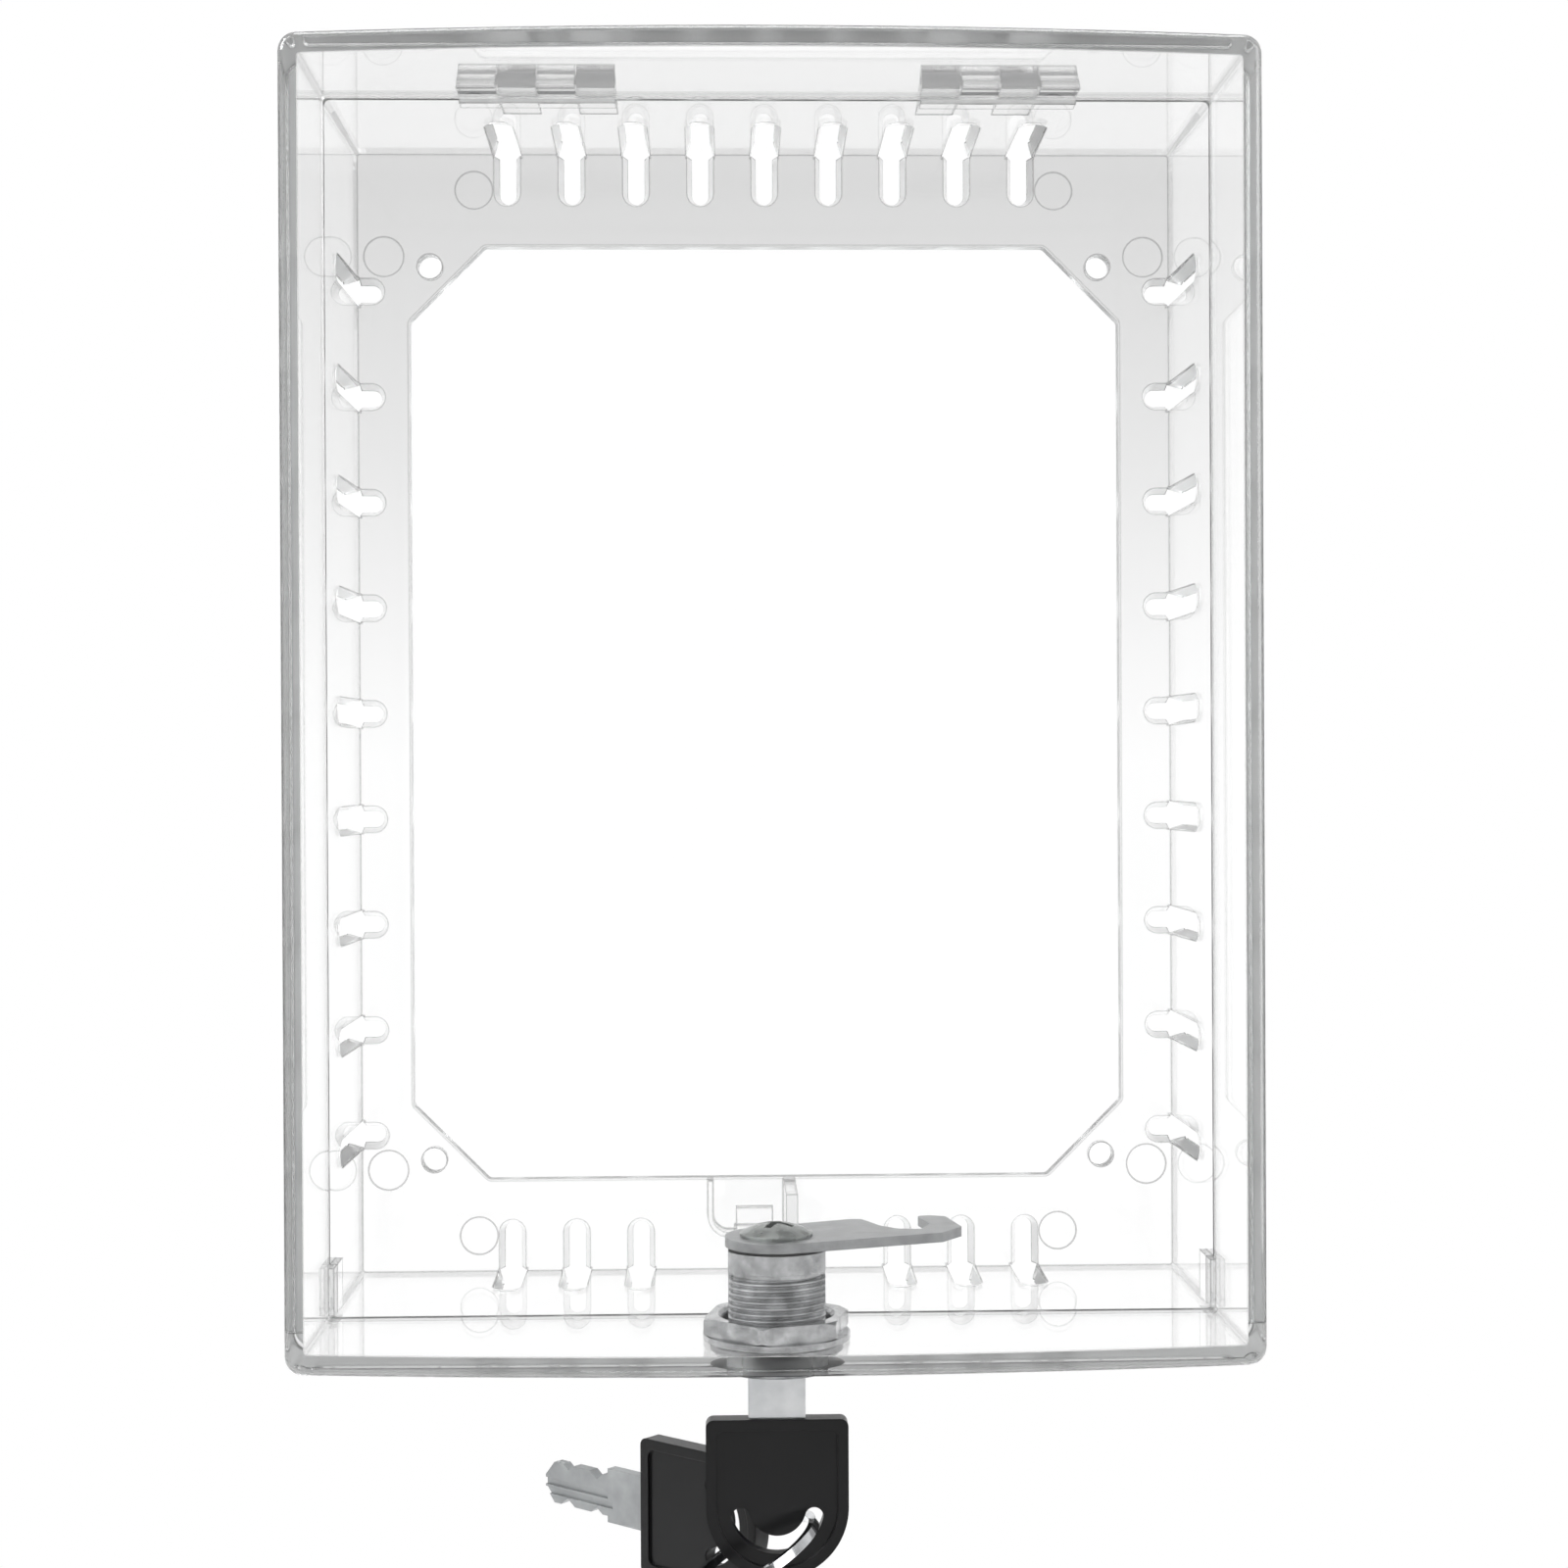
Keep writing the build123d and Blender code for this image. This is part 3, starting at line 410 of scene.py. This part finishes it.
# A rougher, darker copy of the key's plating. The darker tone is painted shade on the spare
# key's blade.
SHADED_SPARE_STEEL = plated_metal("dulled nickel plating darkened as painted shade", "#A4A6A7", "#8C8E8F", 0.42, 0.05, 5.0,
                           (0.08, 1, 1))
RING_STEEL = plated_metal("bright nickel on spring steel", "#D2D3D5", "#B5B7B9",
                          0.12, 0.04, 2.5)
BRASS = plated_metal("stamped brass", "#C9A45E", "#A78443", 0.32, 0.08, 2.0)
PLUG_BRASS = plated_metal("nickel-plated brass", "#C6C6C2", "#A5A5A1", 0.24, 0.06, 3.0)
for metal in (CAM_ZINC, ZINC, DULL_ZINC, PIN_STEEL, SHADED_HINGE_STEEL,
              KEY_STEEL, SHADED_SPARE_STEEL, RING_STEEL, BRASS, PLUG_BRASS):
    print("made:", metal.name)

# %% [markdown]
# ### Black bow plastic
# The keys' bows are moulded over the blades in near-black ABS. The mould is
# spark-eroded, which gives a satin texture: highlights are broad and soft on
# the faces and sharper on the rims. Its real grain of about 0.1 mm is drawn
# 0.25 mm wide, so that it shows. One flat black would look like a hole, so
# two near-blacks drift into each other.

# %% Black satin ABS
BOW_EDGE = 0.3
CLOUD_WIDTH = 6
SPARK_WIDTH, SPARK_DEPTH, SPARK_STRENGTH = 0.25, 0.015, 0.3
ABS_ROUGHNESS, ABS_INDEX = 0.34, 1.32


def satin_abs():
    """Near-black plastic with a fine eroded grain."""
    material, tree, out = new_material("satin black ABS")
    place = add(tree, "ShaderNodeTexCoord").outputs["Object"]
    cloud = add(tree, "ShaderNodeTexNoise",
                {"Vector": place, "Scale": 1 / (CLOUD_WIDTH * MM), "Detail": 3.0})
    tone = add(tree, "ShaderNodeValToRGB", {"Fac": cloud})
    tone.color_ramp.elements[0].color = hex_colour("#040405")
    tone.color_ramp.elements[1].color = hex_colour("#0A0A0B")
    spark = add(tree, "ShaderNodeTexNoise",
                {"Vector": place, "Scale": 1 / (SPARK_WIDTH * MM), "Detail": 1.0})
    edge = add(tree, "ShaderNodeBevel", {"Radius": BOW_EDGE * MM}, samples=BEVEL_SAMPLES)
    bump = add(tree, "ShaderNodeBump", {"Height": spark, "Normal": edge,
                                        "Strength": SPARK_STRENGTH,
                                        "Distance": SPARK_DEPTH * MM})
    plastic = add(tree, "ShaderNodeBsdfPrincipled",
                  {"Base Color": tone, "Normal": bump,
                   "Roughness": ABS_ROUGHNESS, "IOR": ABS_INDEX})
    tree.links.new(plastic.outputs[0], out.inputs["Surface"])
    return material


BLACK_ABS = satin_abs()
print("made:", BLACK_ABS.name)

# %% [markdown]
# ## Dressing the solids
# Each kept solid takes its material. That could be one line for each solid,
# but names that share a beginning share a finish, so one short table will do.

# %% Materials on the kept solids
FINISHES = {
    "back_housing": POLYCARBONATE, "front_cover": POLYCARBONATE, "hinge_pin": SHADED_HINGE_STEEL,
    "lock_body": ZINC, "lock_nut": ZINC, "lock_washer": ZINC, "lock_plug": PLUG_BRASS,
    "cam_screw": DULL_ZINC, "cam": CAM_ZINC, "wafer_spring": PIN_STEEL, "wafer": BRASS,
    "key_blade": KEY_STEEL, "spare_key_blade": SHADED_SPARE_STEEL, "key_bow": BLACK_ABS,
    "spare_key_bow": BLACK_ABS, "key_ring": RING_STEEL,
}


def finish_for(name):
    """The longest beginning that fits the node's name."""
    return FINISHES[max((key for key in FINISHES if name.startswith(key)), key=len)]


for name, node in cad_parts.items():
    node.data.materials.clear()
    node.data.materials.append(finish_for(name))
print("dressed", len(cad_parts), "nodes")

# %% [markdown]
# ## The lock's thread
# The lock's body is threaded over its whole length so that one nut clamps it
# to walls of any thickness. The thread could be a bump in the material, but
# its crests have to show against the light. So it is cut as on a lathe: a
# small V-shaped tool is swept up a helix by a Screw modifier, and a Boolean
# takes its path out of a copy of the body. The helpers below do by script
# what a hand does in the viewport: select one piece, modify it, delete it.

# %% Helpers for modelling
MERGE_WITHIN, FLAT_WITHIN = 0.001, 0.5


def only(piece):
    """Selects one object and nothing else."""
    bpy.ops.object.select_all(action="DESELECT")
    piece.select_set(True)
    bpy.context.view_layer.objects.active = piece


def modify(piece, kind, **settings):
    """Adds one modifier and applies it."""
    modifier = piece.modifiers.new(kind.lower(), kind)
    for key, value in settings.items():
        setattr(modifier, key, value)
    only(piece)
    bpy.ops.object.modifier_apply(modifier=modifier.name)


def merged_copy(node_name, name):
    """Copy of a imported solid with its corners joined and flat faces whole."""
    only(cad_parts[node_name])
    bpy.ops.object.duplicate()
    piece = bpy.context.object
    piece.name = name
    bpy.ops.mesh.customdata_custom_splitnormals_clear()
    bpy.ops.object.mode_set(mode="EDIT")
    bpy.ops.mesh.select_all(action="SELECT")
    bpy.ops.mesh.remove_doubles(threshold=MERGE_WITHIN * MM)
    bpy.ops.mesh.dissolve_limited(angle_limit=math.radians(FLAT_WITHIN))
    bpy.ops.object.mode_set(mode="OBJECT")
    return piece


def drop(piece):
    """Deletes a tool once it has done its work."""
    only(piece)
    bpy.ops.object.delete()


print("lock body as packed:", len(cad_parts["lock_body"].data.polygons), "faces")

# %% [markdown]
# The flange only touches the clear wall here and there, so its face is set a
# hair lower: the film of air keeps the wall's underside as bright as it is on
# a real box. Only the flange's own flat face moves, found by its height.

# %% Barrel with its flange face
FLANGE_AIR = 0.04
FACES_UP, HEIGHT_WITHIN = 0.99, 0.01

barrel = merged_copy("lock_body", "lock_barrel")
only(barrel)
bpy.ops.object.mode_set(mode="EDIT")
bpy.ops.mesh.select_all(action="DESELECT")
bpy.ops.object.mode_set(mode="OBJECT")
for face in barrel.data.polygons:
    level = abs(face.center.z - FLOOR_Z * MM) < HEIGHT_WITHIN * MM
    face.select = face.normal.z > FACES_UP and level
bpy.ops.object.mode_set(mode="EDIT")
bpy.ops.transform.translate(value=mm(0, 0, -FLANGE_AIR))
bpy.ops.object.mode_set(mode="OBJECT")
print("barrel:", len(barrel.data.polygons), "faces once merged")

# %% [markdown]
# The tool is a triangle with its point at the thread's root and its back just
# outside the body. One turn of the Screw modifier lifts it by one pitch. The
# swept path is open at both ends, so they are filled before it cuts. The two
# flats of the body stay smooth, because they lie deeper than the root.

# %% Thread cut into the barrel
THREAD_PITCH, THREAD_TURNS, THREAD_STEPS = 1.0, 13, 72
THREAD_START = -107.0
THREAD_ROOT, TOOL_BACK, TOOL_HALF_WIDTH = 8.42, 9.08, 0.47
PATH_MERGE = 0.0001
SMOOTH_BELOW = 30

bpy.ops.object.select_all(action="DESELECT")
bpy.ops.mesh.primitive_circle_add(vertices=3, radius=1.0, fill_type="NOTHING",
                                  location=mm(0, LOCK_Y, 0))
tool = bpy.context.object
tool_corners = ((THREAD_ROOT, 0), (TOOL_BACK, TOOL_HALF_WIDTH), (TOOL_BACK, -TOOL_HALF_WIDTH))
for corner, (out, rise) in zip(tool.data.vertices, tool_corners):
    corner.co = mm(out, 0, THREAD_START + rise)
modify(tool, "SCREW", axis="Z", screw_offset=THREAD_PITCH * MM, iterations=THREAD_TURNS,
       steps=THREAD_STEPS, render_steps=THREAD_STEPS,
       use_merge_vertices=True, merge_threshold=PATH_MERGE * MM)
bpy.ops.object.mode_set(mode="EDIT")
bpy.ops.mesh.select_mode(type="EDGE")
bpy.ops.mesh.select_all(action="DESELECT")
bpy.ops.mesh.select_non_manifold()
bpy.ops.mesh.fill()
bpy.ops.mesh.select_all(action="SELECT")
bpy.ops.mesh.normals_make_consistent(inside=False)
bpy.ops.object.mode_set(mode="OBJECT")
modify(barrel, "BOOLEAN", operation="DIFFERENCE", solver="EXACT", object=tool)
drop(tool)
only(barrel)
bpy.ops.object.shade_smooth_by_angle(angle=math.radians(SMOOTH_BELOW))
barrel.data.materials.clear()
barrel.data.materials.append(ZINC)
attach(barrel, "cover")
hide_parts("lock_body")
print("lock barrel:", len(barrel.data.polygons), "faces,", THREAD_TURNS, "turns")

# %% [markdown]
# ## Stage
# A pale paper floor well below the keys and a pale backdrop behind the wall
# plane. A see-through film would leave the plastic nothing to refract, so the
# paper is modelled. It looks white to the camera through the Light Path node,
# while the lamps stay at a plain level. Through the plastic it looks white
# too, and a little brighter with each face that the light has crossed.
# Upwards from the middle of the box the paper falls off to a light grey, as
# paper does away from its lamps. That fall only shows where the light has
# crossed both mouldings, which tells the back plate from the openings in it.

# %% Floor and backdrop
PAPER_WHITE = "#F2F2F2"
# The height of the fall, and at each share of it the light that is taken away.
FALL_SPAN = 400.0
FALL_STOPS = ((0.0, 0.03), (0.10, 0.04), (0.42, 0.11),
              (0.775, 0.115), (0.80, 0.08), (0.92, 0.13))
BOTH_MOULDINGS = 3.0
PAPER_GAIN = 0.05
FLOOR_SIZE, FLOOR_AT = 2.6, (0, 1050, -330)
BACKDROP_SIZE, BACKDROP_AT = 4, (0, 900, 0)
WHITE = (1, 1, 1, 1)


def white_stage():
    """Paper that lamps light as paper, and that looks white to the camera."""
    material, tree, out = new_material("white paper backdrop")
    paper = add(tree, "ShaderNodeBsdfDiffuse", {"Color": hex_colour(PAPER_WHITE)})
    ray = add(tree, "ShaderNodeLightPath")
    position = add(tree, "ShaderNodeNewGeometry").outputs["Position"]
    height = add(tree, "ShaderNodeSeparateXYZ", {0: position}).outputs["Z"]
    share = add(tree, "ShaderNodeMapRange", {"Value": height, "From Max": FALL_SPAN * MM})
    fall = add(tree, "ShaderNodeValToRGB", {"Fac": share})
    stops = fall.color_ramp.elements
    while len(stops) < len(FALL_STOPS):
        stops.new(1.0)
    for stop, (place, grey) in zip(stops, FALL_STOPS):
        stop.position, stop.color = place, (grey, grey, grey, 1)
    crossed = ray.outputs["Transmission Depth"]
    both = add(tree, "ShaderNodeMath", {0: crossed, 1: BOTH_MOULDINGS},
               operation="GREATER_THAN")
    gain = add(tree, "ShaderNodeMath", {0: crossed, 1: PAPER_GAIN}, operation="MULTIPLY")
    bright = add(tree, "ShaderNodeMath", {0: 1.0, 1: gain}, operation="ADD")
    level = add(tree, "ShaderNodeMath", {0: bright, 1: all_of(tree, both, fall)},
                operation="SUBTRACT")
    glow = add(tree, "ShaderNodeEmission", {"Strength": level, "Color": WHITE})
    seen = any_of(tree, ray.outputs["Is Camera Ray"], ray.outputs["Is Transmission Ray"])
    mix = add(tree, "ShaderNodeMixShader", {0: seen, 1: paper, 2: glow})
    tree.links.new(mix.outputs[0], out.inputs["Surface"])
    return material


PAPER = white_stage()
bpy.ops.object.select_all(action="DESELECT")
bpy.ops.mesh.primitive_plane_add(size=FLOOR_SIZE, location=mm(*FLOOR_AT))
floor = bpy.context.object
floor.name = "paper_floor"
bpy.ops.mesh.primitive_plane_add(size=BACKDROP_SIZE, location=mm(*BACKDROP_AT),
                                 rotation=(math.radians(90), 0, 0))
backdrop = bpy.context.object
backdrop.name = "paper_backdrop"
for sheet in (floor, backdrop):
    sheet.data.materials.append(PAPER)
print("stage:", floor.name, "and", backdrop.name)

# %% [markdown]
# ## Light
# A large soft box from the upper left, weaker ones from the right and from
# above, and a faint low one for the lock and the keys. Clear plastic would
# show the boxes themselves as hard bright panels, so rays that have passed
# through it don't see them. Reflections still do.

# %% Lamps
LAMPS = (
    ("key_soft_box", (-800, -520, 620), (0, -40, -20), (500, 500), 13.0),
    ("fill_soft_box", (650, -600, 100), (0, -40, -40), (500, 700), 5.0),
    ("top_soft_box", (0, -100, 700), (0, -40, 0), (600, 400), 5.0),
    ("low_soft_box", (10, -640, -280), (0, -58, -120), (260, 50), 0.25),
)

for name, place, aim, size, watts in LAMPS:
    bpy.ops.object.light_add(type="AREA", location=mm(*place))
    lamp = bpy.context.object
    lamp.name = name
    lamp.data.shape = "RECTANGLE"
    lamp.data.size, lamp.data.size_y = size[0] * MM, size[1] * MM
    lamp.data.energy = watts
    lamp.visible_transmission = False
    lamp.rotation_euler = (mm(*aim) - mm(*place)).to_track_quat("-Z", "Y").to_euler()
print("lamps:", len(LAMPS), "with", sum(lamp[-1] for lamp in LAMPS), "W in all")

# %% [markdown]
# ## Room
# The room is white behind the box and darker in front of it, which gives the
# metal its darker sides. A picture of a studio could do the same, but a ramp
# is enough for a room as plain as this. Metal and the faces of the plastic
# mirror it as it is. Rays that have passed through the plastic find it lifted towards
# white, and fully white downwards, where the paper would go on for ever.
# The camera itself sees white.

# %% World
ROOM_FRONT, ROOM_WHITE_FROM = "#5E5E5E", 0.62
LIFT = 0.60
DOWN_FROM, DOWN_FULL = -0.05, -0.38

world = bpy.data.worlds.new("pale studio")
world.use_nodes = True
bpy.context.scene.world = world
room = world.node_tree
direction = add(room, "ShaderNodeTexCoord").outputs["Generated"]
towards = add(room, "ShaderNodeSeparateXYZ", {0: direction}).outputs
ray = add(room, "ShaderNodeLightPath")
depth = add(room, "ShaderNodeMapRange", {"Value": towards["Y"], "From Min": -1.0})
shade = add(room, "ShaderNodeValToRGB", {"Fac": depth})
shade.color_ramp.elements[0].color = hex_colour(ROOM_FRONT)
shade.color_ramp.elements[1].position = ROOM_WHITE_FROM
down = add(room, "ShaderNodeMapRange",
           {"Value": towards["Z"], "From Min": DOWN_FROM, "From Max": DOWN_FULL})
lifted = add(room, "ShaderNodeMix", {0: LIFT, 6: shade, 7: WHITE}, data_type="RGBA")
refracted = add(room, "ShaderNodeMix", {0: down, 6: lifted.outputs[2], 7: WHITE},
                data_type="RGBA")
through = add(room, "ShaderNodeMix", {0: ray.outputs["Is Transmission Ray"], 6: shade,
                                      7: refracted.outputs[2]}, data_type="RGBA")
to_camera = add(room, "ShaderNodeMix", {0: ray.outputs["Is Camera Ray"],
                                        6: through.outputs[2], 7: WHITE}, data_type="RGBA")
room.links.new(to_camera.outputs[2], room.nodes["Background"].inputs["Color"])
print("room: white behind, darker in front,", len(room.nodes), "nodes")

# %% [markdown]
# ## Camera
# The camera stands in front of the box, a little left of its middle and just
# under it, so that the bottom wall, the lock and the inside of the left wall
# show as they do to someone standing at the box. Its turn is built from yaw,
# pitch and roll, because a tracking constraint could not hold the slight roll.

# %% Camera
LENS_PX, FRAME_PX, SENSOR_WIDTH = 2600.0, 1600, 36
CAMERA_AT = mm(-9.83, -481.8, -11.39)
YAW, PITCH, ROLL = (math.radians(a) for a in (1.557, -0.249, -0.273))
camera_data = bpy.data.cameras.new("studio_camera")
camera = bpy.data.objects.new("studio_camera", camera_data)
bpy.context.collection.objects.link(camera)
forward = Vector((math.sin(YAW) * math.cos(PITCH), math.cos(YAW) * math.cos(PITCH),
                  math.sin(PITCH)))
level = Vector((math.cos(YAW), -math.sin(YAW), 0))
upright = level.cross(forward)
right = level * math.cos(ROLL) + upright * math.sin(ROLL)
up = upright * math.cos(ROLL) - level * math.sin(ROLL)
camera.matrix_world = Matrix((
    (right.x, up.x, -forward.x, CAMERA_AT.x),
    (right.y, up.y, -forward.y, CAMERA_AT.y),
    (right.z, up.z, -forward.z, CAMERA_AT.z),
    (0, 0, 0, 1),
))
camera_data.sensor_width = SENSOR_WIDTH
camera_data.lens = SENSOR_WIDTH * LENS_PX / FRAME_PX
bpy.context.scene.camera = camera
bpy.context.scene.view_settings.view_transform = "Standard"
print("camera lens", round(camera_data.lens, 1), "mm")

# %% [markdown]
# ## Finish
# The last line prints how many solids were dressed and which piece was rebuilt in mesh.
# The dressed box has to stay within the imported solids' box.

# %% Finish
print("finished:", len(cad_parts), "solids, one of them as", barrel.name)
